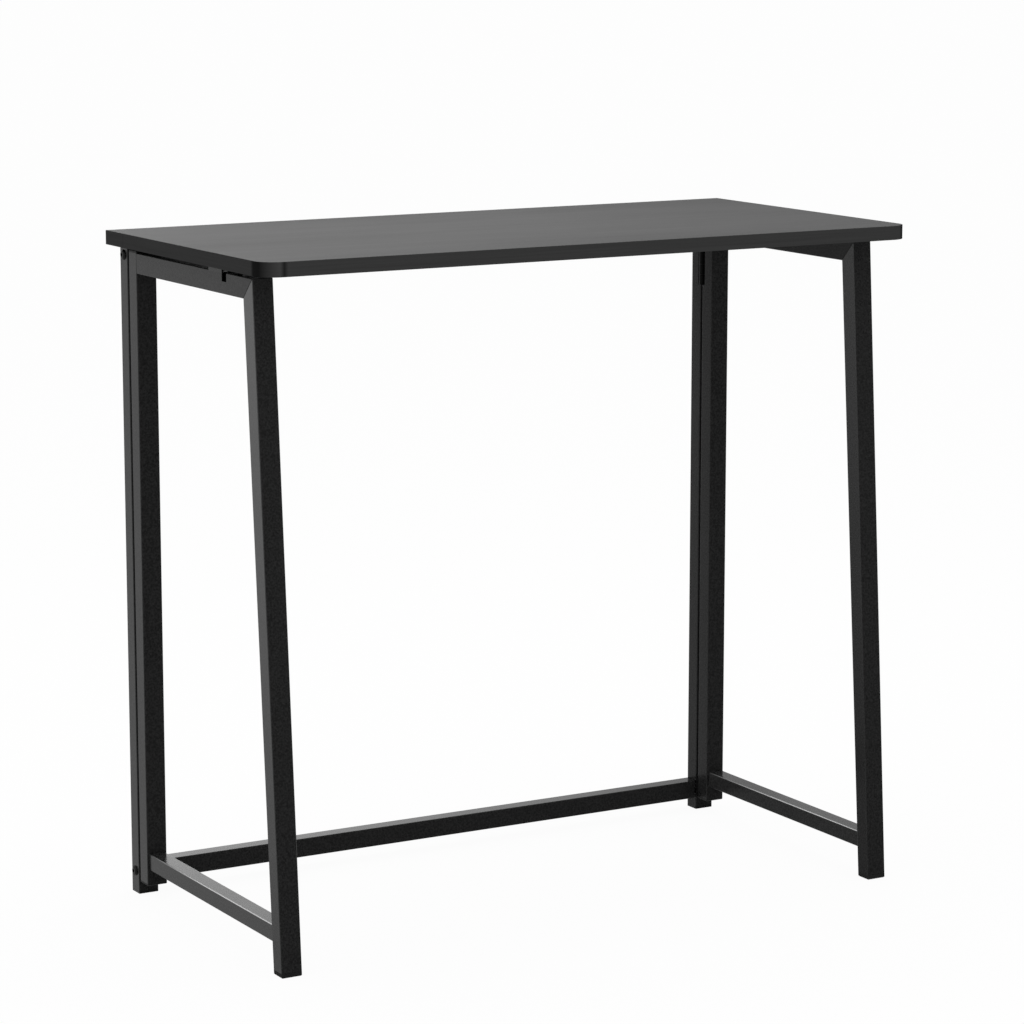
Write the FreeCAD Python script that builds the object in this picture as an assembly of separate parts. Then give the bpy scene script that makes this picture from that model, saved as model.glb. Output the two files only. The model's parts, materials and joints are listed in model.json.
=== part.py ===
import FreeCAD, Part
import math
import os

# A folding desk: a board hinged along the rear of a free-standing tube frame,
# and two side frames that fold in flat against that rear frame.
# Millimetres, +Z up, front towards -Y. The origin is on the floor, at the middle of the overall box.

# Board
TOP_WIDTH = 800.0
TOP_DEPTH = 394.0
TOP_THICKNESS = 15.5
DESK_HEIGHT = 750.0
FRONT_CORNER = 23.0
REAR_CORNER = 1.2
LAMINATE = 0.8
EDGE_BAND = 1.0
BAND_EASE = 0.25
BAND_SEAM_INSET = 47.0
BAND_SEAM = 0.4

# Steel tubes
TUBE_WIDTH = 23.7
POST_DEPTH = 19.7
UPRIGHT_DEPTH = 20.6
SIDE_TUBE = 22.7
CROSS_TUBE = 21.8
LOW_WIDTH = 19.0
LOW_HEIGHT = 18.5
TUBE_CORNER = 1.2
LOW_CORNER = 1.0
WALL = 0.8

# Places of the tubes
SIDE_INSET = 14.7
REAR_INSET = 5.3
FOLD_GAP = 3.6
RAIL_DROP = 6.3
STRETCHER_Z = 25.1
LOW_RAIL_Z = 42.65
UPRIGHT_LIFT = 15.1

# Front leg, which leans out to the front and narrows towards the foot
LEG_TOP_INSET = 55.2
LEG_TOP_DEPTH = 23.8
LEG_FOOT_INSET = 5.1
LEG_FOOT_DEPTH = 20.0
MITRE_GROOVE = 0.5
MITRE_HALF = 0.4

# Plugs in the tube ends
FOOT_CAP = 5.0
FOOT_BEVEL = 1.0
POST_FOOT = 3.0
POST_FOOT_BEVEL = 0.2
UPRIGHT_CAP = 2.3
END_CAP = 1.5
END_CAP_BEVEL = 0.6
SEAM = 0.3
PLUG_LENGTH = 16.0
CAP_PLUG_LENGTH = 4.0
PLUG_CLEAR = 0.1

# Lug that carries the board, and the notch in front of it
LUG_INSET = 128.0
LUG_LENGTH = 32.0
LUG_SHEET = 2.0
NOTCH_WIDTH = 11.0
NOTCH_DEPTH = 9.6

# Catch tongue under the board, which drops into the notch
CATCH_SHEET = 2.0
CATCH_WIDTH = 8.0
CATCH_REAR_CLEAR = 2.0
CATCH_SIDE_CLEAR = 3.5
CATCH_FOOT_CLEAR = 2.0
CATCH_LENGTH = 32.0
CATCH_BEND = 1.0

# Side hinges, with a vertical pin in the gap between post and upright
KNUCKLE_RADIUS = 3.6
PIN_RADIUS = 1.6
HINGE_SET = 1.0
SIDE_LEAF = 1.2
SIDE_LEAF_REACH = 18.0
SLOT_SIDE = 5.1
SLOT_CLEAR = 0.5
UPPER_HINGE_HEIGHT = 61.0
UPPER_KNUCKLES = 5
LOWER_HINGE_HEIGHT = 24.0
LOWER_KNUCKLES = 3
LOWER_KNUCKLE_RADIUS = 2.2
LOWER_PIN_RADIUS = 1.0
LOWER_SLOT_SIDE = 1.0
HINGE_END_CLEAR = 1.5
KNUCKLE_GAP = 0.3
KNUCKLE_CLEAR = 0.4
FIT = 0.05

# Board hinges, with a pin along the desk behind the board's rear edge
TOP_KNUCKLE_RADIUS = 3.2
TOP_LEAF = 1.5
TOP_HINGE_LENGTH = 70.0
TOP_HINGE_INSET = 140.0
TOP_HINGE_KNUCKLES = 3
BOARD_LEAF_DEPTH = 42.0
RAIL_LEAF_FOOT = 4.0
ARM_CLEAR = 1.5
HANG_CLEAR = 0.7
POCKET_CLEAR = 0.2

# Fasteners
BOLT_RADIUS = 3.0
BOLT_HEAD_RADIUS = 5.75
BOLT_HEAD_RIM = 0.6
BOLT_HEAD_HEIGHT = 2.5
BOLT_CROWN_RADIUS = 3.4
SOCKET_FLATS = 4.0
SOCKET_DEPTH = 1.6
END_PLATE = 6.0
BOLT_TAIL = 2.0
SCREW_RADIUS = 1.75
SCREW_HEAD_RADIUS = 3.3
SCREW_LENGTH = 12.0
SCREW_TIP = 2.0
PAN_HEAD_HEIGHT = 1.6
RIVET_RADIUS = 2.0
RIVET_HEAD_RADIUS = 3.4
RIVET_TAIL_RADIUS = 3.0
RIVET_TAIL_HEIGHT = 1.5
LEAF_SCREW_SPACING = 25.0
CATCH_SCREW_SPACING = 13.0

# Worked out from the sizes above
UNDERSIDE = DESK_HEIGHT - TOP_THICKNESS
TOP_HINGE_BACK = TOP_THICKNESS - TOP_KNUCKLE_RADIUS + TOP_LEAF + HANG_CLEAR - REAR_INSET
Y_FRONT = -(TOP_DEPTH + TOP_HINGE_BACK + TOP_KNUCKLE_RADIUS) / 2
Y_REAR = Y_FRONT + TOP_DEPTH
OUTER_X = TOP_WIDTH / 2 - SIDE_INSET
INNER_X = OUTER_X - TUBE_WIDTH
POST_REAR = Y_REAR - REAR_INSET
POST_FRONT = POST_REAR - POST_DEPTH
UPRIGHT_REAR = POST_FRONT - FOLD_GAP
UPRIGHT_FRONT = UPRIGHT_REAR - UPRIGHT_DEPTH
RAIL_TOP = UNDERSIDE - RAIL_DROP
RAIL_LOW = RAIL_TOP - SIDE_TUBE
TOP_RAIL_Z = UNDERSIDE - CROSS_TUBE / 2
LUG_FRONT = Y_FRONT + LUG_INSET
NOTCH_FRONT = LUG_FRONT - NOTCH_WIDTH
NOTCH_LOW = RAIL_TOP - NOTCH_DEPTH
HINGE_X = INNER_X + HINGE_SET
HINGE_Y = POST_FRONT - FOLD_GAP / 2
UPPER_HINGE_LOW = UNDERSIDE - CROSS_TUBE - HINGE_END_CLEAR - UPPER_HINGE_HEIGHT
LOWER_HINGE_LOW = UPRIGHT_LIFT + UPRIGHT_CAP + HINGE_END_CLEAR
TOP_AXIS_Y = Y_REAR + TOP_HINGE_BACK
TOP_AXIS_Z = UNDERSIDE + TOP_KNUCKLE_RADIUS
POST_MIDDLE = POST_REAR - POST_DEPTH / 2
REACH = 2 * TOP_WIDTH
SAME = 1e-6

X_AXIS = FreeCAD.Vector(1, 0, 0)
Y_AXIS = FreeCAD.Vector(0, 1, 0)
Z_AXIS = FreeCAD.Vector(0, 0, 1)


def vector(x, y, z):
    return FreeCAD.Vector(x, y, z)


def block(x, y, z):
    """A box from three (low, high) spans."""
    corner = vector(x[0], y[0], z[0])
    return Part.makeBox(x[1] - x[0], y[1] - y[0], z[1] - z[0], corner)


def edges_along(shape, axis):
    """The straight edges of a shape that run along an axis."""
    found = []
    for edge in shape.Edges:
        ends = [vertex.Point for vertex in edge.Vertexes]
        if len(ends) == 2 and abs(abs((ends[1] - ends[0]).normalize().dot(axis)) - 1) < SAME:
            found.append(edge)
    return found


def edges_at(shape, height):
    """The edges of a shape that lie level at a height."""
    return [edge for edge in shape.Edges if all(abs(end.Z - height) < SAME for end in edge.Vertexes)]


def bar(axis, x, y, z, corner):
    """A solid bar with its long edges rounded."""
    blank = block(x, y, z)
    return blank.makeFillet(corner, edges_along(blank, axis))


def grown(span, amount):
    return (span[0] - amount, span[1] + amount)


def tube(axis, x, y, z, corner):
    """A hollow bar with open ends."""
    spans = [x, y, z]
    along = [X_AXIS, Y_AXIS, Z_AXIS].index(axis)
    bore = [span if i == along else grown(span, -WALL) for i, span in enumerate(spans)]
    return bar(axis, x, y, z, corner).cut(bar(axis, *bore, corner - WALL))


def cylinder(axis, radius, start, length):
    return Part.makeCylinder(radius, length, start, axis)


def turned(points, arc_middle=None):
    """A solid of revolution about Z, from (radius, height) points. The last side may be an arc."""
    places = [vector(radius, 0, height) for radius, height in points]
    edges = [Part.makeLine(a, b) for a, b in zip(places, places[1:])]
    if arc_middle is None:
        edges.append(Part.makeLine(places[-1], places[0]))
    else:
        middle = vector(arc_middle[0], 0, arc_middle[1])
        edges[-1] = Part.Arc(places[-2], middle, places[-1]).toShape()
        edges.append(Part.makeLine(places[-1], places[0]))
    return Part.Face(Part.Wire(edges)).revolve(vector(0, 0, 0), Z_AXIS, 360)


def placed(shape, spot, axis=Z_AXIS):
    """A copy of a shape made about Z, turned to an axis and moved to a spot."""
    copy = shape.copy()
    copy.Placement = FreeCAD.Placement(spot, FreeCAD.Rotation(Z_AXIS, axis))
    return copy


def mirrored(shape):
    return shape.mirror(vector(0, 0, 0), X_AXIS)


def both_sides(shapes):
    """One group of separate solids, with a mirror copy of each."""
    return Part.makeCompound(list(shapes) + [mirrored(shape) for shape in shapes])


# Rear frame

def hinge_slot(low, height, radius, side):
    """The room cut from the facing corners of post and upright for a hinge's knuckles."""
    x = (INNER_X - SLOT_CLEAR, HINGE_X + radius + SLOT_CLEAR)
    y = (UPRIGHT_REAR - side, POST_FRONT + side)
    return block(x, y, grown((low, low + height), SLOT_CLEAR))


def lower_room():
    """The room cut from the end of the bottom stretcher beside the lower hinge's knuckles."""
    reach = LOWER_KNUCKLE_RADIUS + SLOT_CLEAR
    y = (POST_FRONT - SLOT_CLEAR, HINGE_Y + reach)
    span = (LOWER_HINGE_LOW, LOWER_HINGE_LOW + LOWER_HINGE_HEIGHT)
    return block((HINGE_X - reach, INNER_X), y, grown(span, SLOT_CLEAR))


SLOTS = [
    hinge_slot(UPPER_HINGE_LOW, UPPER_HINGE_HEIGHT, KNUCKLE_RADIUS, SLOT_SIDE),
    hinge_slot(LOWER_HINGE_LOW, LOWER_HINGE_HEIGHT, LOWER_KNUCKLE_RADIUS, LOWER_SLOT_SIDE),
]
LOWER_ROOM = lower_room()
POST_X = (INNER_X, OUTER_X)
POST_Y = (POST_FRONT, POST_REAR)


def bolt_hole(height):
    start = vector(INNER_X - END_PLATE - BOLT_TAIL, POST_MIDDLE, height)
    return cylinder(X_AXIS, BOLT_RADIUS + FIT, start, TUBE_WIDTH + END_PLATE + 2 * BOLT_TAIL)


def post():
    shape = tube(Z_AXIS, POST_X, POST_Y, (POST_FOOT, UNDERSIDE - END_CAP), TUBE_CORNER)
    return shape.cut([bolt_hole(STRETCHER_Z), bolt_hole(TOP_RAIL_Z)] + SLOTS)


def plug(x, y, flange, neck, bevel, free_end):
    """A plug with a flange as wide as its tube and a neck inside it."""
    head = bar(Z_AXIS, x, y, flange, TUBE_CORNER)
    seam_end = flange[0] + flange[1] - free_end
    head = head.makeChamfer(bevel, edges_at(head, free_end))
    head = head.makeChamfer(SEAM, edges_at(head, seam_end))
    inside = WALL + PLUG_CLEAR
    return head.fuse(bar(Z_AXIS, grown(x, -inside), grown(y, -inside), neck, TUBE_CORNER - inside))


def post_foot():
    neck = (POST_FOOT, POST_FOOT + PLUG_LENGTH)
    return plug(POST_X, POST_Y, (0, POST_FOOT), neck, POST_FOOT_BEVEL, 0).cut(SLOTS)


def post_cap():
    low = UNDERSIDE - END_CAP
    neck = (low - CAP_PLUG_LENGTH, low)
    return plug(POST_X, POST_Y, (low, UNDERSIDE), neck, END_CAP_BEVEL, UNDERSIDE)


def cross_span(middle):
    return (middle - CROSS_TUBE / 2, middle + CROSS_TUBE / 2)


def cross_tube(middle):
    return tube(X_AXIS, (-INNER_X, INNER_X), POST_Y, cross_span(middle), TUBE_CORNER)


def end_plate(middle):
    """The threaded plate welded inside the end of a cross tube."""
    inside = WALL + FIT
    x = (INNER_X - END_PLATE, INNER_X)
    blank = bar(X_AXIS, x, grown(POST_Y, -inside), grown(cross_span(middle), -inside), TUBE_CORNER - inside)
    return blank.cut(bolt_hole(middle))


def frame_bolt(height):
    """A button-head bolt through a post into an end plate."""
    length = TUBE_WIDTH + END_PLATE
    middle_radius = (BOLT_HEAD_RADIUS + BOLT_CROWN_RADIUS) / 2 + BOLT_HEAD_RIM / 2
    middle_height = (BOLT_HEAD_RIM + BOLT_HEAD_HEIGHT) / 2 + BOLT_HEAD_RIM / 2
    points = [(0, BOLT_HEAD_HEIGHT), (0, -length), (BOLT_RADIUS, -length), (BOLT_RADIUS, 0),
              (BOLT_HEAD_RADIUS, 0), (BOLT_HEAD_RADIUS, BOLT_HEAD_RIM), (BOLT_CROWN_RADIUS, BOLT_HEAD_HEIGHT)]
    blank = turned(points, (middle_radius, middle_height))
    corner = SOCKET_FLATS / math.sqrt(3)
    bottom = BOLT_HEAD_HEIGHT - SOCKET_DEPTH
    ring = [vector(corner * math.cos(math.radians(60 * i)), corner * math.sin(math.radians(60 * i)), bottom)
            for i in range(7)]
    socket = Part.Face(Part.makePolygon(ring)).extrude(vector(0, 0, 2 * SOCKET_DEPTH))
    return placed(blank.cut(socket), vector(OUTER_X, POST_MIDDLE, height), X_AXIS)


# Side frames, built on the right and mirrored for the left

SIDE_X = (INNER_X, OUTER_X)
UPRIGHT_Y = (UPRIGHT_FRONT, UPRIGHT_REAR)
RAIL_Z = (RAIL_LOW, RAIL_TOP)


def upright():
    shape = tube(Z_AXIS, SIDE_X, UPRIGHT_Y, (UPRIGHT_LIFT + UPRIGHT_CAP, RAIL_TOP), TUBE_CORNER)
    return shape.cut(SLOTS)


def upright_plugs():
    low = UPRIGHT_LIFT + UPRIGHT_CAP
    high = RAIL_TOP + UPRIGHT_CAP
    bottom_neck = (low, low + PLUG_LENGTH)
    top_neck = (RAIL_TOP - CAP_PLUG_LENGTH, RAIL_TOP)
    bottom = plug(SIDE_X, UPRIGHT_Y, (UPRIGHT_LIFT, low), bottom_neck, END_CAP_BEVEL, UPRIGHT_LIFT)
    top = plug(SIDE_X, UPRIGHT_Y, (RAIL_TOP, high), top_neck, END_CAP_BEVEL, high)
    return [bottom.cut(SLOTS), top]


def leg_span(height):
    """Front and rear of the leaning leg at a height."""
    share = height / RAIL_TOP
    front = Y_FRONT + LEG_FOOT_INSET + (LEG_TOP_INSET - LEG_FOOT_INSET) * share
    depth = LEG_FOOT_DEPTH + (LEG_TOP_DEPTH - LEG_FOOT_DEPTH) * share
    return (front, front + depth)


def side_profile(corners, x):
    """A prism across the desk, from (y, z) corners seen from the side."""
    places = [vector(x[0], y, z) for y, z in corners]
    return Part.Face(Part.makePolygon(places + places[:1])).extrude(X_AXIS * (x[1] - x[0]))


def leg_bar(low, high, inset):
    """A solid stretch of the leg, drawn in on all sides by an inset."""
    front_low, rear_low = grown(leg_span(low), -inset)
    front_high, rear_high = grown(leg_span(high), -inset)
    corners = [(front_low, low), (rear_low, low), (rear_high, high), (front_high, high)]
    blank = side_profile(corners, grown(SIDE_X, -inset))
    long_edges = [edge for edge in blank.Edges if abs(edge.Vertexes[0].Z - edge.Vertexes[1].Z) > SAME]
    return blank.makeFillet(TUBE_CORNER - inset, long_edges)


def mitre_band(rear, front):
    """All that lies between two distances in front of the mitre of leg and top rail."""
    inner = vector(0, leg_span(RAIL_LOW)[1], RAIL_LOW)
    outer = vector(0, leg_span(RAIL_TOP)[0], RAIL_TOP)
    along = (outer - inner).normalize()
    away = vector(0, -along.z, along.y)
    places = [(-REACH, rear), (REACH, rear), (REACH, front), (-REACH, front)]
    corners = [inner + along * a + away * b for a, b in places]
    return side_profile([(corner.y, corner.z) for corner in corners], SIDE_X)


def front_leg():
    high = RAIL_TOP + SIDE_TUBE
    shape = leg_bar(FOOT_CAP, high, 0).cut(leg_bar(FOOT_CAP, high, WALL)).common(mitre_band(0, REACH))
    return shape.cut(mitre_band(0, MITRE_HALF).cut(leg_bar(FOOT_CAP, high, MITRE_GROOVE)))


def foot_cap():
    shoe = leg_bar(0, FOOT_CAP, 0)
    shoe = shoe.makeChamfer(FOOT_BEVEL, edges_at(shoe, 0))
    shoe = shoe.makeChamfer(SEAM, edges_at(shoe, FOOT_CAP))
    return shoe.fuse(leg_bar(FOOT_CAP, FOOT_CAP + PLUG_LENGTH, WALL + PLUG_CLEAR))


RAIL_Y = (leg_span(RAIL_TOP)[0] - SIDE_TUBE, UPRIGHT_FRONT)


def top_rail():
    shape = tube(Y_AXIS, SIDE_X, RAIL_Y, RAIL_Z, TUBE_CORNER).cut(mitre_band(0, REACH))
    core_x = grown(SIDE_X, -MITRE_GROOVE)
    core_z = grown(RAIL_Z, -MITRE_GROOVE)
    core = bar(Y_AXIS, core_x, RAIL_Y, core_z, TUBE_CORNER - MITRE_GROOVE)
    shape = shape.cut(mitre_band(-MITRE_HALF, 0).cut(core))
    notch = block((INNER_X + WALL, OUTER_X + WALL), (NOTCH_FRONT, LUG_FRONT), (NOTCH_LOW, RAIL_TOP + WALL))
    return shape.cut(notch)


def lug():
    """A folded steel channel on the top rail, flush with the rail's sides."""
    y = (LUG_FRONT, LUG_FRONT + LUG_LENGTH)
    outside = block(SIDE_X, y, (RAIL_TOP - TUBE_CORNER, UNDERSIDE))
    hollow = block(grown(SIDE_X, -LUG_SHEET), y, (RAIL_TOP - TUBE_CORNER, UNDERSIDE - LUG_SHEET))
    rail = bar(Y_AXIS, SIDE_X, RAIL_Y, RAIL_Z, TUBE_CORNER)
    return outside.cut(hollow).cut(rail)


def low_rail():
    z = (LOW_RAIL_Z - LOW_HEIGHT / 2, LOW_RAIL_Z + LOW_HEIGHT / 2)
    leg_front, leg_rear = leg_span(LOW_RAIL_Z)
    y = ((leg_front + leg_rear) / 2, UPRIGHT_FRONT)
    side = (TUBE_WIDTH - LOW_WIDTH) / 2
    shape = tube(Y_AXIS, grown(SIDE_X, -side), y, z, LOW_CORNER)
    return shape.cut(leg_bar(FOOT_CAP, LOW_RAIL_Z + 2 * LOW_HEIGHT, 0))


# Hinges

def knuckle_spans(low, length, count, parity):
    """The spans of every second knuckle, with a small gap between neighbours."""
    pitch = length / count
    return [(low + i * pitch + KNUCKLE_GAP / 2, low + (i + 1) * pitch - KNUCKLE_GAP / 2)
            for i in range(parity, count, 2)]


def side_leaf(y, low, height, count, parity, radius, pin):
    """A leaf of a side hinge: its plate, its own knuckles, and room for the other leaf's."""
    own = knuckle_spans(low, height, count, parity)
    other = knuckle_spans(low, height, count, 1 - parity)
    foot = vector(HINGE_X, HINGE_Y, 0)
    plate = block((HINGE_X + pin + FIT, HINGE_X + SIDE_LEAF_REACH), y, (low, low + height))
    for a, b in other:
        low_end, high_end = grown((a, b), KNUCKLE_GAP)
        room = cylinder(Z_AXIS, radius + KNUCKLE_CLEAR, foot + Z_AXIS * low_end, high_end - low_end)
        plate = plate.cut(room)
    rings = [cylinder(Z_AXIS, radius, foot + Z_AXIS * a, b - a) for a, b in own]
    bore = cylinder(Z_AXIS, pin + FIT, foot + Z_AXIS * low, height)
    return plate.fuse(rings).cut(bore).removeSplitter()


def side_hinge(low, height, count, radius, pin):
    """Post leaf, frame leaf and pin of a side hinge."""
    post_leaf = side_leaf((POST_FRONT - SIDE_LEAF, POST_FRONT), low, height, count, 0, radius, pin)
    frame_leaf = side_leaf((UPRIGHT_REAR, UPRIGHT_REAR + SIDE_LEAF), low, height, count, 1, radius, pin)
    return post_leaf, frame_leaf, cylinder(Z_AXIS, pin, vector(HINGE_X, HINGE_Y, low), height)


TOP_HINGE_X = TOP_WIDTH / 2 - TOP_HINGE_INSET
TOP_HINGE_LOW = TOP_HINGE_X - TOP_HINGE_LENGTH / 2
TOP_HINGE_SPAN = (TOP_HINGE_LOW, TOP_HINGE_LOW + TOP_HINGE_LENGTH)
LEAF_SCREW_PLACES = [TOP_HINGE_X + i * LEAF_SCREW_SPACING for i in (-1, 0, 1)]
LEAF_SCREW_Y = Y_REAR - BOARD_LEAF_DEPTH / 2
RIVET_Z = UNDERSIDE - CROSS_TUBE / 2


def top_ring(span, radius):
    return cylinder(X_AXIS, radius, vector(span[0], TOP_AXIS_Y, TOP_AXIS_Z), span[1] - span[0])


def top_bore():
    return top_ring(TOP_HINGE_SPAN, PIN_RADIUS + FIT)


def rail_leaf():
    """The leaf on the back of the top rear rail, with arms that reach back to its knuckles."""
    back = (POST_REAR, POST_REAR + TOP_LEAF)
    arm_top = UNDERSIDE - ARM_CLEAR
    plate = block(TOP_HINGE_SPAN, back, (UNDERSIDE - CROSS_TUBE + RAIL_LEAF_FOOT, arm_top))
    pieces = []
    for span in knuckle_spans(TOP_HINGE_LOW, TOP_HINGE_LENGTH, TOP_HINGE_KNUCKLES, 0):
        pieces.append(block(span, (POST_REAR, TOP_AXIS_Y), (arm_top - TOP_LEAF, arm_top)))
        stem = (TOP_AXIS_Y - TOP_KNUCKLE_RADIUS, TOP_AXIS_Y + TOP_KNUCKLE_RADIUS)
        pieces.append(block(span, stem, (arm_top - TOP_LEAF, TOP_AXIS_Z)))
        pieces.append(top_ring(span, TOP_KNUCKLE_RADIUS))
    return plate.fuse(pieces).cut([top_bore()] + rivet_row(FIT)).removeSplitter()


def board_leaf():
    """The leaf let into the board's underside, curled up round the pin behind the board."""
    z = (UNDERSIDE, UNDERSIDE + TOP_LEAF)
    plate = block(TOP_HINGE_SPAN, (Y_REAR - BOARD_LEAF_DEPTH, Y_REAR), z)
    pieces = []
    for span in knuckle_spans(TOP_HINGE_LOW, TOP_HINGE_LENGTH, TOP_HINGE_KNUCKLES, 1):
        pieces.append(block(span, (Y_REAR, TOP_AXIS_Y), z))
        pieces.append(top_ring(span, TOP_KNUCKLE_RADIUS))
    holes = [placed(leaf_screw(FIT), vector(x, LEAF_SCREW_Y, UNDERSIDE)) for x in LEAF_SCREW_PLACES]
    return plate.fuse(pieces).cut([top_bore()] + holes).removeSplitter()


def rivet(clearance=0):
    """A flush rivet through the rail leaf and the rail's wall, with a tail inside the rail."""
    shank = RIVET_RADIUS + clearance
    inner = TOP_LEAF + WALL
    tail = inner + RIVET_TAIL_HEIGHT
    points = [(0, 0), (RIVET_HEAD_RADIUS + clearance, 0), (shank, TOP_LEAF), (shank, inner),
              (RIVET_TAIL_RADIUS, inner), (RIVET_TAIL_RADIUS, tail), (0, tail)]
    return turned(points)


def rivet_row(clearance=0):
    """The rivets of one rail leaf, or with a clearance their holes."""
    spots = [vector(x, POST_REAR + TOP_LEAF, RIVET_Z) for x in LEAF_SCREW_PLACES]
    return [placed(rivet(clearance), spot, -Y_AXIS) for spot in spots]


def leaf_screw(clearance=0):
    """A countersunk wood screw up into the board, its head flush with the leaf."""
    shank = SCREW_RADIUS + clearance
    points = [(0, 0), (SCREW_HEAD_RADIUS + clearance, 0), (shank, TOP_LEAF),
              (shank, SCREW_LENGTH - SCREW_TIP), (0, SCREW_LENGTH)]
    return turned(points)


def catch_screw(clearance=0):
    """A pan-head wood screw up through the catch into the board."""
    shank = SCREW_RADIUS + clearance
    points = [(0, -PAN_HEAD_HEIGHT), (SCREW_HEAD_RADIUS - PAN_HEAD_HEIGHT / 2, -PAN_HEAD_HEIGHT),
              (SCREW_HEAD_RADIUS, -PAN_HEAD_HEIGHT / 2), (SCREW_HEAD_RADIUS, 0), (shank, 0),
              (shank, SCREW_LENGTH - SCREW_TIP), (0, SCREW_LENGTH)]
    return turned(points)


# Board

def board_outline(inset, z):
    """The board's plan, drawn in by an inset, over a span of heights."""
    x = grown((-TOP_WIDTH / 2, TOP_WIDTH / 2), -inset)
    y = grown((Y_FRONT, Y_REAR), -inset)
    shape = block(x, y, z)
    for end, radius in ((y[0], FRONT_CORNER), (y[1], REAR_CORNER)):
        corners = [edge for edge in edges_along(shape, Z_AXIS)
                   if abs(edge.Vertexes[0].Y - end) < SAME and abs(edge.Vertexes[0].X) > x[1] - SAME]
        shape = shape.makeFillet(radius - inset, corners)
    return shape


CATCH_X = (INNER_X + WALL + CATCH_SIDE_CLEAR, INNER_X + WALL + CATCH_SIDE_CLEAR + CATCH_SHEET)
CATCH_REAR = LUG_FRONT - CATCH_REAR_CLEAR
CATCH_Y = (CATCH_REAR - CATCH_WIDTH, CATCH_REAR)
CATCH_STRIP_X = (CATCH_X[1] - CATCH_LENGTH, CATCH_X[1])
CATCH_MIDDLE = (CATCH_STRIP_X[0] + CATCH_X[0]) / 2
CATCH_SCREW_PLACES = [CATCH_MIDDLE + i * CATCH_SCREW_SPACING / 2 for i in (-1, 1)]
CATCH_SCREW_Y = CATCH_REAR - CATCH_WIDTH / 2


def catch():
    """A bent steel strip under the board, with a tongue that drops into the rail's notch."""
    low = UNDERSIDE - CATCH_SHEET
    strip = block(CATCH_STRIP_X, CATCH_Y, (low, UNDERSIDE))
    tongue = block(CATCH_X, CATCH_Y, (NOTCH_LOW + CATCH_FOOT_CLEAR, UNDERSIDE))
    shape = strip.fuse(tongue).removeSplitter()
    bend = [edge for edge in edges_along(shape, Y_AXIS)
            if abs(edge.Vertexes[0].X - CATCH_X[0]) < SAME and abs(edge.Vertexes[0].Z - low) < SAME]
    shape = shape.makeFillet(CATCH_BEND, bend)
    holes = [placed(catch_screw(FIT), vector(x, CATCH_SCREW_Y, low)) for x in CATCH_SCREW_PLACES]
    return shape.cut(holes)


def board_cuts():
    """Pockets for the hinge leaves, and the holes of the screws in the board."""
    pocket_y = (Y_REAR - BOARD_LEAF_DEPTH - POCKET_CLEAR, Y_REAR + EDGE_BAND)
    pocket_z = (UNDERSIDE - LAMINATE, UNDERSIDE + TOP_LEAF)
    pocket = block(grown(TOP_HINGE_SPAN, POCKET_CLEAR), pocket_y, pocket_z)
    screws = [placed(leaf_screw(FIT), vector(x, LEAF_SCREW_Y, UNDERSIDE)) for x in LEAF_SCREW_PLACES]
    low = UNDERSIDE - CATCH_SHEET
    screws += [placed(catch_screw(FIT), vector(x, CATCH_SCREW_Y, low)) for x in CATCH_SCREW_PLACES]
    cuts = [pocket] + screws
    return cuts + [mirrored(cut) for cut in cuts]


def edge_band(cuts):
    ring = board_outline(0, (UNDERSIDE, DESK_HEIGHT))
    rims = [edge for edge in ring.Edges if edge.Vertexes[0].Z == edge.Vertexes[-1].Z]
    ring = ring.makeChamfer(BAND_EASE, rims)
    end = -TOP_WIDTH / 2
    seam_y = Y_REAR - BAND_SEAM_INSET
    seam = block((end - BAND_SEAM, end + BAND_SEAM), (seam_y - BAND_SEAM, seam_y), (UNDERSIDE, DESK_HEIGHT))
    return ring.cut(board_outline(EDGE_BAND, (UNDERSIDE, DESK_HEIGHT))).cut(cuts + [seam])


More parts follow.
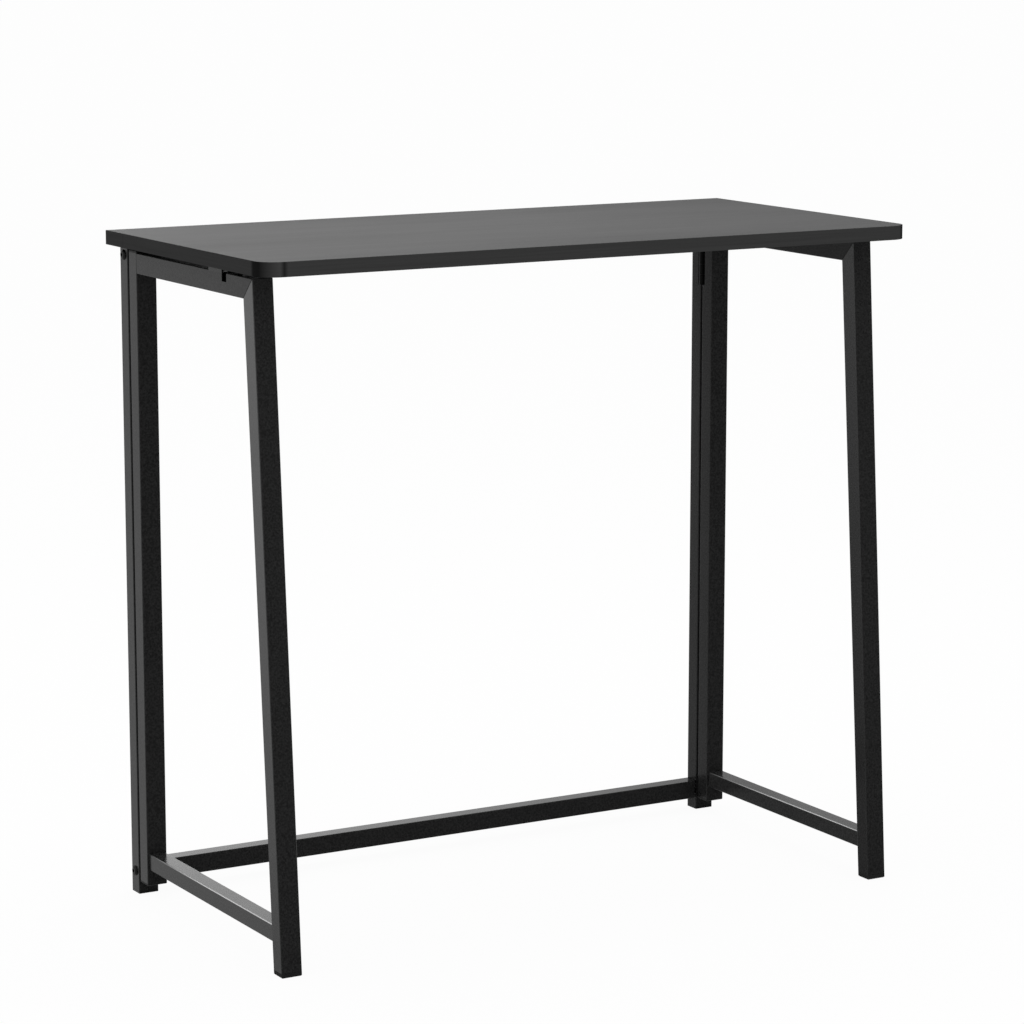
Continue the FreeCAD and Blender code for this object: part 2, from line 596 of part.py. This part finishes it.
def build():
    """Every sub-part, by name."""
    nodes = {}
    cuts = board_cuts()
    nodes["board_core"] = board_outline(EDGE_BAND, (UNDERSIDE + LAMINATE, DESK_HEIGHT - LAMINATE)).cut(cuts)
    nodes["top_laminate"] = board_outline(EDGE_BAND, (DESK_HEIGHT - LAMINATE, DESK_HEIGHT))
    nodes["backing_laminate"] = board_outline(EDGE_BAND, (UNDERSIDE, UNDERSIDE + LAMINATE)).cut(cuts)
    nodes["edge_band"] = edge_band(cuts)

    holes = rivet_row(FIT)
    nodes["top_rear_rail"] = cross_tube(TOP_RAIL_Z).cut(holes + [mirrored(hole) for hole in holes])
    nodes["bottom_stretcher"] = cross_tube(STRETCHER_Z).cut([LOWER_ROOM, mirrored(LOWER_ROOM)])
    plates = [end_plate(TOP_RAIL_Z), end_plate(STRETCHER_Z).cut(LOWER_ROOM)]
    nodes["cross_tube_end_plates"] = both_sides(plates)
    nodes["frame_bolts"] = both_sides([frame_bolt(TOP_RAIL_Z), frame_bolt(STRETCHER_Z)])
    nodes["rail_leaf_rivets"] = both_sides(rivet_row())
    nodes["board_hinge_pins"] = both_sides([top_ring(TOP_HINGE_SPAN, PIN_RADIUS)])

    leaf_screws = [placed(leaf_screw(), vector(x, LEAF_SCREW_Y, UNDERSIDE)) for x in LEAF_SCREW_PLACES]
    nodes["board_leaf_screws"] = both_sides(leaf_screws)
    low = UNDERSIDE - CATCH_SHEET
    catch_screws = [placed(catch_screw(), vector(x, CATCH_SCREW_Y, low)) for x in CATCH_SCREW_PLACES]
    nodes["catch_screws"] = both_sides(catch_screws)

    upper = side_hinge(UPPER_HINGE_LOW, UPPER_HINGE_HEIGHT, UPPER_KNUCKLES, KNUCKLE_RADIUS, PIN_RADIUS)
    lower = side_hinge(LOWER_HINGE_LOW, LOWER_HINGE_HEIGHT, LOWER_KNUCKLES, LOWER_KNUCKLE_RADIUS,
                       LOWER_PIN_RADIUS)
    right = {
        "post": post(),
        "post_foot": post_foot(),
        "post_cap": post_cap(),
        "upper_hinge_post_leaf": upper[0],
        "lower_hinge_post_leaf": lower[0],
        "side_hinge_pins": Part.makeCompound([upper[2], lower[2]]),
        "rail_hinge_leaf": rail_leaf(),
        "upright": upright(),
        "upright_plugs": Part.makeCompound(upright_plugs()),
        "side_rail": top_rail(),
        "support_lug": lug(),
        "front_leg": front_leg(),
        "foot_cap": foot_cap(),
        "low_rail": low_rail(),
        "upper_hinge_frame_leaf": upper[1],
        "lower_hinge_frame_leaf": lower[1],
        "board_hinge_leaf": board_leaf(),
        "catch": catch(),
    }
    for name, shape in right.items():
        nodes["right_" + name] = shape
        nodes["left_" + name] = mirrored(shape)
    return nodes


os.makedirs("parts", exist_ok=True)
for node, shape in build().items():
    shape.exportStep("parts/" + node + ".step")
    print(node, len(shape.Solids), "valid" if shape.isValid() else "not valid", round(shape.Volume))
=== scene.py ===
import bpy
import json
import math
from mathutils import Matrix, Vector


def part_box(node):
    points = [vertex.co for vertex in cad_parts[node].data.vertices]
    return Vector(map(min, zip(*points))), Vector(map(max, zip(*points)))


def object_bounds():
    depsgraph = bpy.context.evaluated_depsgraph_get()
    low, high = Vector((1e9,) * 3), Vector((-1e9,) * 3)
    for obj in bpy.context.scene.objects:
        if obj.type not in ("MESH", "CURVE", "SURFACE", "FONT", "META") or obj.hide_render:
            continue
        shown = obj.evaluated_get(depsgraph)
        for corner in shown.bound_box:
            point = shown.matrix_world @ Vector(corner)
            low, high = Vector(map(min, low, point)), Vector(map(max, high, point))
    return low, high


# A black folding desk: the finish of each piece, and the studio and camera that show it.

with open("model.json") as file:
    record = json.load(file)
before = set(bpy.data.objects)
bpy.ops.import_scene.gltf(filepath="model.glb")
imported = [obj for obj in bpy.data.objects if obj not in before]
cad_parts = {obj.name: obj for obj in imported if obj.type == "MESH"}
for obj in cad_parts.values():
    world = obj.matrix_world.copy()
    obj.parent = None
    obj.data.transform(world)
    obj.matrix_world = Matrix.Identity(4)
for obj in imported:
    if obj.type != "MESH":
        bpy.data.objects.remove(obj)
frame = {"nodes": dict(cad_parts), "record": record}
cad_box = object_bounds()
scene = bpy.context.scene
scene.view_settings.view_transform = "Standard"


# Sizes and places, in metres unless the name says otherwise

LOWEST, HIGHEST = cad_box
FRONT_CORNER = 0.023  # radius of the board's two front corners
FLOOR_RADIUS = 40.0
FLOOR_SIDES = 64
FLOOR_LEVEL = -0.0002  # just below the feet

# The camera, fitted to the photograph
CAMERA_SPOT = (-1.94806, -3.39894, 1.12873)
YAW_DEGREES = 29.8811  # from straight ahead towards the right
PITCH_DEGREES = 10.1151  # downwards
FOCAL_PIXELS = 3546.38
PHOTO_PIXELS = 1024
SENSOR_MILLIMETRES = 36.0


# Tones from 0, black, to 1, white, and shares and strengths

NOISE_SPAN = (0.3, 0.7)  # most of a noise lies between these
COAT_TONES = (0.0105, 0.023)  # dark and light specks of the powder coat
COAT_SPECKS = (0.36, 0.64)  # the part of the noise over which they blend
CLEAR_COAT_ROUGH = 0.2
GRAIN_TONES = [(0.30, 0.022), (0.52, 0.029), (0.72, 0.037)]  # the wood grain's noise and its tones
EDGE_SLOPE = (0.05, 0.3)  # sideways times upward part of the normal, from flat face to rounded edge, where the glint is painted
GLINT_SHARE = 0.45  # share of a low rail's length, from its rear end, over which the painted glint grows
ROUGH_SWING = 0.05  # how far the roughness of plastic and dark steel strays each way
FLOOR_TONE = 0.86
FLOOR_GLOW = 0.95  # share of plain white in the floor that the camera sees
WORLD_FILL = 0.8  # strength of the world's light on matt surfaces
WHITE = 1.0  # strength at which a background is white

# Painted sheen and shade round the edge band's left front corner, as its tone, and painted shade round the
# right one, as the share of the tone that remains, each at a turn in degrees: at -90 the band faces the
# front, at 0 it faces out to the side. The first and last values hold for the rest of the band.
LEFT_PAINTED_SHEEN = [(-104, 0.045), (-93, 0.015), (-82, 0.054), (-45, 0.024), (-24, 0.008), (0, 0.009), (12, 0.034)]
RIGHT_PAINTED_SHADE = [(-66, 1.0), (-56, 0.45), (-46, 0.1), (0, 0.15), (12, 1.0)]


# Node helpers

MIX_INPUTS = (0, 6, 7)  # a mix node's share and its two colours
MIX_RESULT = 2


def empty_tree(owner, output="ShaderNodeOutputMaterial"):
    """The cleared node tree of a material or world, and the socket that takes its surface."""
    owner.use_nodes = True
    tree = owner.node_tree
    tree.nodes.clear()
    return tree, tree.nodes.new(output).inputs["Surface"]


def start(name):
    """A new material with a principled shader."""
    material = bpy.data.materials.new(name)
    tree, surface = empty_tree(material)
    shader = tree.nodes.new("ShaderNodeBsdfPrincipled")
    tree.links.new(shader.outputs["BSDF"], surface)
    return material, tree, shader


def plug(tree, socket, item):
    """Sets a socket to a number or colour, or links it to another socket."""
    if isinstance(item, bpy.types.NodeSocket):
        tree.links.new(item, socket)
    else:
        socket.default_value = item


def feed(tree, node, items):
    """Plugs an item into each named input of a node."""
    for name, item in items.items():
        plug(tree, node.inputs[name], item)


def grey(tone):
    """An opaque grey."""
    return (tone, tone, tone, 1.0)


def place(tree, stretch=(1.0, 1.0, 1.0)):
    """Object coordinates in metres, multiplied by a stretch along each axis."""
    coord = tree.nodes.new("ShaderNodeTexCoord")
    mapping = tree.nodes.new("ShaderNodeMapping")
    feed(tree, mapping, {"Vector": coord.outputs["Object"], "Scale": stretch})
    return mapping.outputs["Vector"]


def axes(tree, kind="Object"):
    """The X, Y and Z sockets of the object coordinates, or of the normal."""
    coord = tree.nodes.new("ShaderNodeTexCoord")
    split = tree.nodes.new("ShaderNodeSeparateXYZ")
    feed(tree, split, {"Vector": coord.outputs[kind]})
    return split.outputs


def noise(tree, where, scale=1.0, detail=2.0, rough=0.5, distortion=0.0):
    """A noise with about as many lumps to the metre as its scale and its place's stretch say."""
    node = tree.nodes.new("ShaderNodeTexNoise")
    feed(tree, node, {
        "Vector": where,
        "Scale": scale,
        "Detail": detail,
        "Roughness": rough,
        "Distortion": distortion,
    })
    return node.outputs["Fac"]


def spread(tree, value, low, high, to_low=0.0, to_high=1.0):
    """Maps a value from one span to another, and holds it at the ends."""
    node = tree.nodes.new("ShaderNodeMapRange")
    feed(tree, node, {
        "Value": value,
        "From Min": low,
        "From Max": high,
        "To Min": to_low,
        "To Max": to_high,
    })
    return node.outputs["Result"]


def vary(tree, value, low, high):
    """A number that follows a noise from low to high."""
    return spread(tree, value, *NOISE_SPAN, low, high)


def ramp(tree, value, stops):
    """A colour that follows a value through stops, each a position and a colour."""
    node = tree.nodes.new("ShaderNodeValToRGB")
    points = node.color_ramp.elements
    while len(points) < len(stops):
        points.new(0.5)
    for point, (position, colour) in zip(points, stops):
        point.position = position
        point.color = colour
    feed(tree, node, {"Fac": value})
    return node.outputs["Color"]


def two_tone(tree, value, dark, light, span=NOISE_SPAN):
    """A grey that follows a noise from a dark tone to a light one."""
    return ramp(tree, value, list(zip(span, (grey(dark), grey(light)))))


def mix(tree, share, first, second, kind="MIX"):
    """Mixes two colours."""
    node = tree.nodes.new("ShaderNodeMix")
    node.data_type = "RGBA"
    node.blend_type = kind
    for index, item in zip(MIX_INPUTS, (share, first, second)):
        plug(tree, node.inputs[index], item)
    return node.outputs[MIX_RESULT]


def calculate(tree, operation, first, second=0.0):
    """A math node on one or two values."""
    node = tree.nodes.new("ShaderNodeMath")
    node.operation = operation
    for socket, item in zip(node.inputs, (first, second)):
        plug(tree, socket, item)
    return node.outputs["Value"]


def bump(tree, shader, height, strength, depth, under=None):
    """Bumps a shader's surface by a height, on top of an earlier bump where one is given."""
    node = tree.nodes.new("ShaderNodeBump")
    feed(tree, node, {"Height": height, "Strength": strength, "Distance": depth})
    if under is not None:
        feed(tree, node, {"Normal": under})
    feed(tree, shader, {"Normal": node.outputs["Normal"]})
    return node.outputs["Normal"]


# Materials

def painted_edge_glint(tree):
    """How strongly a glint is painted on the upper edges of a low rail, from nothing at its rear end."""
    front, rear = [corner[1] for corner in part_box("left_low_rail")]
    full = rear + GLINT_SHARE * (front - rear)
    facing = axes(tree, kind="Normal")
    sideways = calculate(tree, "ABSOLUTE", facing["X"])
    slope = calculate(tree, "MULTIPLY", sideways, facing["Z"])
    edge = spread(tree, slope, *EDGE_SLOPE)
    glint_fade = spread(tree, axes(tree)["Y"], low=rear, high=full)
    return calculate(tree, "MULTIPLY", edge, glint_fade)


def powder_coat(name, gloss, tones=COAT_TONES, clear_top=None, glint_tone=None):
    """Fine-grained, speckled black powder coat.

    A clear coat may thicken upwards to clear_top, and a glint may be painted on the upper edges in a lighter
    tone.
    """
    material, tree, shader = start(name)
    where = place(tree)
    peel = noise(tree, where, scale=620.0, detail=3.0, rough=0.6)
    speck = noise(tree, where, scale=520.0, rough=0.6)
    cloud = noise(tree, where, scale=7.0, detail=3.0, rough=0.55)
    base = two_tone(tree, speck, *tones, span=COAT_SPECKS)
    if glint_tone is not None:
        # Painted highlight: the upper edges take a lighter tone that stands in for a glint.
        base = mix(tree, painted_edge_glint(tree), base, grey(glint_tone))
    feed(tree, shader, {
        "Base Color": base,
        "Roughness": vary(tree, cloud, low=0.19, high=0.24),
        "Specular IOR Level": gloss,
    })
    if clear_top is not None:
        clear = spread(tree, axes(tree)["Z"], low=0.0, high=HIGHEST[2], to_high=clear_top)
        feed(tree, shader, {"Coat Weight": clear, "Coat Roughness": CLEAR_COAT_ROUGH})
    bump(tree, shader, peel, strength=0.4, depth=0.0001)
    return material


def laminate():
    """Black melamine with a fine wood grain along the desk."""
    material, tree, shader = start("wood_grain_laminate")
    grain = noise(tree, place(tree, stretch=(3.0, 150.0, 1.0)), detail=4.0, rough=0.6, distortion=0.4)
    pores = noise(tree, place(tree, stretch=(22.0, 900.0, 1.0)))
    cloud = noise(tree, place(tree, stretch=(1.0, 4.0, 1.0)), scale=2.0)
    figure = ramp(tree, grain, [(position, grey(tone)) for position, tone in GRAIN_TONES])
    shade = two_tone(tree, pores, dark=0.45, light=1.0, span=(0.34, 0.46))
    feed(tree, shader, {
        "Base Color": mix(tree, share=0.6, first=figure, second=shade, kind="MULTIPLY"),
        "Roughness": vary(tree, cloud, low=0.48, high=0.54),
        "Specular IOR Level": 0.3,
    })
    pitted = bump(tree, shader, pores, strength=0.25, depth=0.00008)
    bump(tree, shader, grain, strength=0.12, depth=0.0001, under=pitted)
    return material


def plain_melamine():
    """The plain black backing under the board."""
    material, tree, shader = start("backing_melamine")
    where = place(tree)
    fine = noise(tree, where, scale=420.0)
    cloud = noise(tree, where, scale=6.0)
    feed(tree, shader, {
        "Base Color": two_tone(tree, cloud, dark=0.026, light=0.034),
        "Roughness": vary(tree, fine, low=0.62, high=0.72),
        "Specular IOR Level": 0.03,
    })
    bump(tree, shader, fine, strength=0.2, depth=0.00008)
    return material


def turn_round(tree, corner_x, corner_y):
    """The turn about an upright line, as a share of a circle: 0.5 is straight out to the line's own side."""
    spot = axes(tree)
    to_right = calculate(tree, "SUBTRACT", spot["X"], corner_x)
    outwards = calculate(tree, "MULTIPLY", to_right, math.copysign(1.0, corner_x))
    to_rear = calculate(tree, "SUBTRACT", spot["Y"], corner_y)
    turn = calculate(tree, "ARCTAN2", to_rear, outwards)
    return spread(tree, turn, low=-math.pi, high=math.pi)


def edge_band():
    """Matt black edge band with a faint lengthwise grain, and painted sheen and shade where it bends round
    the front corners.
    """
    material, tree, shader = start("edge_band_satin")
    grain = noise(tree, place(tree, stretch=(8.0, 8.0, 700.0)))
    cloud = noise(tree, place(tree), scale=9.0)
    base = two_tone(tree, grain, dark=0.86, light=1.0)
    corner_y = LOWEST[1] + FRONT_CORNER
    painted_bends = [(LOWEST[0] + FRONT_CORNER, LEFT_PAINTED_SHEEN), (HIGHEST[0] - FRONT_CORNER, RIGHT_PAINTED_SHADE)]
    # Painted sheen and shade: the band's tone changes with the turn round each front corner.
    for corner_x, painted_bend in painted_bends:
        stops = [(0.5 + degrees / 360, grey(tone)) for degrees, tone in painted_bend]
        shade = ramp(tree, turn_round(tree, corner_x, corner_y), stops)
        base = mix(tree, share=1.0, first=base, second=shade, kind="MULTIPLY")
    feed(tree, shader, {
        "Base Color": base,
        "Roughness": vary(tree, cloud, low=0.40, high=0.46),
        "Specular IOR Level": 0.0,
    })
    bump(tree, shader, grain, strength=0.12, depth=0.00008)
    return material


def moulded_plastic(name, tone, rough, gloss=0.15):
    """Black moulded plugs, caps and feet."""
    material, tree, shader = start(name)
    where = place(tree)
    fine = noise(tree, where, scale=900.0, rough=0.6)
    cloud = noise(tree, where, scale=30.0)
    feed(tree, shader, {
        "Base Color": two_tone(tree, cloud, dark=tone * 0.7, light=tone * 1.3),
        "Roughness": vary(tree, fine, low=rough - ROUGH_SWING, high=rough + ROUGH_SWING),
        "Specular IOR Level": gloss,
    })
    bump(tree, shader, fine, strength=0.2, depth=0.0001)
    return material


def dark_steel(name, tone, rough, gloss):
    """Black coated steel of the hinges, catches, bolts and screws, finer in grain than the frame's coat."""
    material, tree, shader = start(name)
    where = place(tree)
    fine = noise(tree, where, scale=1200.0)
    cloud = noise(tree, where, scale=60.0)
    feed(tree, shader, {
        "Base Color": two_tone(tree, cloud, dark=tone * 0.8, light=tone * 1.2),
        "Roughness": vary(tree, cloud, low=rough - ROUGH_SWING, high=rough + ROUGH_SWING),
        "Specular IOR Level": gloss,
    })
    bump(tree, shader, fine, strength=0.12, depth=0.00005)
    return material


def bare_steel():
    """Plain drawn steel of the board hinges' pins and rivets, and of the threaded plates."""
    material, tree, shader = start("drawn_steel")
    lines = noise(tree, place(tree, stretch=(60.0, 60.0, 2500.0)))
    feed(tree, shader, {
        "Base Color": two_tone(tree, lines, dark=0.30, light=0.40),
        "Roughness": vary(tree, lines, low=0.28, high=0.40),
        "Metallic": 1.0,
    })
    bump(tree, shader, lines, strength=0.1, depth=0.00003)
    return material


def particle_board():
    """Raw particle board of the core, which the laminates and the band cover."""
    material, tree, shader = start("particle_board")
    dark_chip = (0.30, 0.19, 0.10, 1.0)
    light_chip = (0.52, 0.38, 0.23, 1.0)
    chips = noise(tree, place(tree), scale=260.0, detail=3.0, rough=0.6)
    feed(tree, shader, {
        "Base Color": ramp(tree, chips, list(zip(NOISE_SPAN, (dark_chip, light_chip)))),
        "Roughness": 0.85,
    })
    bump(tree, shader, chips, strength=0.4, depth=0.0004)
    return material


# The finish of each piece, by its name without the side, or else by its material slot

SLOT_FINISH = {
    "frame_paint": powder_coat("powder_coat", gloss=0.12),
    "hinge_black": dark_steel("hinge_steel", tone=0.003, rough=0.45, gloss=0.05),
    "bolt_black": dark_steel("bolt_steel", tone=0.004, rough=0.30, gloss=0.12),
    "pin_steel": bare_steel(),
    "black_plastic": moulded_plastic("moulded_plastic", tone=0.0085, rough=0.55),
    "top_laminate": laminate(),
    "backing_laminate": plain_melamine(),
    "edge_band": edge_band(),
    "board_core": particle_board(),
}
OWN_FINISH = {
    "front_leg": powder_coat("leg_powder_coat", gloss=0.08, clear_top=0.65),
    "side_rail": powder_coat("rail_powder_coat", gloss=0.095),
    # The low rails carry a painted glint: their upper edges are painted lighter.
    "low_rail": powder_coat("glint_painted_powder_coat", gloss=0.12, tones=(0.013, 0.027), glint_tone=0.58),
    "foot_cap": moulded_plastic("cap_plastic", tone=0.018, rough=0.50, gloss=0.02),
    "post_foot": moulded_plastic("satin_plastic", tone=0.013, rough=0.25),
    "side_hinge_pins": SLOT_FINISH["bolt_black"],
}
for entry in frame["record"]["subparts"]:
    kind = entry["node"].removeprefix("left_").removeprefix("right_")
    materials = frame["nodes"][entry["node"]].data.materials
    materials.clear()
    materials.append(OWN_FINISH.get(kind, SLOT_FINISH[entry["material_slot"]]))


# Studio

def stage_face(name, corners, material):
    """A flat studio piece of one face."""
    mesh = bpy.data.meshes.new(name)
    mesh.from_pydata(corners, [], [tuple(range(len(corners)))])
    mesh.materials.append(material)
    thing = bpy.data.objects.new(name, mesh)
    scene.collection.objects.link(thing)
    return thing


def white_light(tree, kind, strength):
    """A white emission or background shader."""
    node = tree.nodes.new(kind)
    feed(tree, node, {"Color": grey(1.0), "Strength": strength})
    return node.outputs[0]


def blend(tree, share, first, second):
    """Blends two shaders. At a share of 1 only the second is left."""
    node = tree.nodes.new("ShaderNodeMixShader")
    for socket, item in zip(node.inputs, (share, first, second)):
        plug(tree, socket, item)
    return node.outputs["Shader"]


def pale_floor():
    """A round pale floor, near white to the camera, which keeps the desk's shadow."""
    material = bpy.data.materials.new("pale_floor")
    tree, surface = empty_tree(material)
    paper = tree.nodes.new("ShaderNodeBsdfDiffuse")
    feed(tree, paper, {"Color": grey(FLOOR_TONE)})
    glow = white_light(tree, "ShaderNodeEmission", WHITE)
    path = tree.nodes.new("ShaderNodeLightPath").outputs
    share = calculate(tree, "MULTIPLY", path["Is Camera Ray"], FLOOR_GLOW)
    plug(tree, surface, blend(tree, share, paper.outputs["BSDF"], glow))
    turns = [math.tau * side / FLOOR_SIDES for side in range(FLOOR_SIDES)]
    ring = [(FLOOR_RADIUS * math.cos(turn), FLOOR_RADIUS * math.sin(turn), FLOOR_LEVEL) for turn in turns]
    floor = stage_face("studio_floor", ring, material)
    floor.visible_glossy = False


def flag(name, y, x, z, glow, far_glow=None, along="X"):
    """An upright cloth over spans of x and z, which only reflections see.

    Its glow may change to far_glow along one of the spans.
    """
    material = bpy.data.materials.new(name)
    tree, surface = empty_tree(material)
    strength = glow
    if far_glow is not None:
        span = {"X": x, "Z": z}[along]
        strength = spread(tree, axes(tree)[along], *span, glow, far_glow)
    plug(tree, surface, white_light(tree, "ShaderNodeEmission", strength))
    left, right = x
    low, high = z
    corners = [(left, y, low), (right, y, low), (right, y, high), (left, y, high)]
    thing = stage_face(name, corners, material)
    thing.visible_camera = False
    thing.visible_diffuse = False
    thing.visible_shadow = False


def studio_world():
    """A world that is white to the camera and in reflections, and lights the rest a little less."""
    world = bpy.data.worlds.new("studio")
    tree, surface = empty_tree(world, "ShaderNodeOutputWorld")
    fill = white_light(tree, "ShaderNodeBackground", WORLD_FILL)
    white = white_light(tree, "ShaderNodeBackground", WHITE)
    path = tree.nodes.new("ShaderNodeLightPath").outputs
    seen = calculate(tree, "MAXIMUM", path["Is Camera Ray"], path["Is Glossy Ray"])
    clear = calculate(tree, "MAXIMUM", seen, path["Is Transmission Ray"])
    plug(tree, surface, blend(tree, clear, fill, white))
    scene.world = world


def aimed(name, data, spot, ahead):
    """A lamp or camera at a spot, looking along a direction."""
    thing = bpy.data.objects.new(name, data)
    thing.location = spot
    thing.rotation_euler = ahead.to_track_quat("-Z", "Y").to_euler()
    scene.collection.objects.link(thing)
    return thing


def softbox(name, spot, target, size, power):
    """A rectangular lamp that shines at a target."""
    light = bpy.data.lights.new(name, "AREA")
    light.shape = "RECTANGLE"
    light.size, light.size_y = size
    light.energy = power
    aimed(name, light, spot, Vector(target) - Vector(spot))


def photo_camera():
    """The camera at the photograph's viewing angle."""
    yaw = math.radians(YAW_DEGREES)
    pitch = math.radians(PITCH_DEGREES)
    level = math.cos(pitch)
    ahead = Vector((math.sin(yaw) * level, math.cos(yaw) * level, -math.sin(pitch)))
    data = bpy.data.cameras.new("photo_camera")
    data.sensor_width = SENSOR_MILLIMETRES
    data.lens = SENSOR_MILLIMETRES * FOCAL_PIXELS / PHOTO_PIXELS
    scene.camera = aimed("photo_camera", data, CAMERA_SPOT, ahead)


pale_floor()
studio_world()
softbox("key_left", spot=(-2.6, -0.2, 1.7), target=(0, 0, 0.45), size=(1.6, 2.0), power=10.0)
softbox("top", spot=(0.2, 0.4, 2.9), target=(0, 0, 0.6), size=(2.2, 1.8), power=22.0)

# The front cloth darkens the tubes' front faces. The leg and post cloths darken the inner faces of the right
# frame and post, and the right cloth shades the board towards the right. The rim strip lights the board's
# left end and the low rails' near edges. The low strip lights the lower tubes' tops on the left and dims them
# on the right.
flag("front_flag", y=-6.0, x=(-4.0, 9.0), z=(-5.0, 4.0), glow=0.08)
flag("leg_flag", y=0.9, x=(-0.55, -0.23), z=(-0.6, 0.66), glow=0.0, far_glow=0.62, along="Z")
flag("post_flag", y=0.9, x=(-0.23, -0.09), z=(-0.6, 0.66), glow=0.5, far_glow=0.03, along="Z")
flag("right_flag", y=2.0, x=(0.5, 3.0), z=(0.8, 3.0), glow=1.0, far_glow=0.3)
flag("rim_strip", y=3.5, x=(-1.6, 1.0), z=(1.7, 2.3), glow=3.0)
flag("low_strip", y=1.5, x=(0.05, 1.4), z=(0.0, 0.74), glow=2.28, far_glow=0.58)
photo_camera()
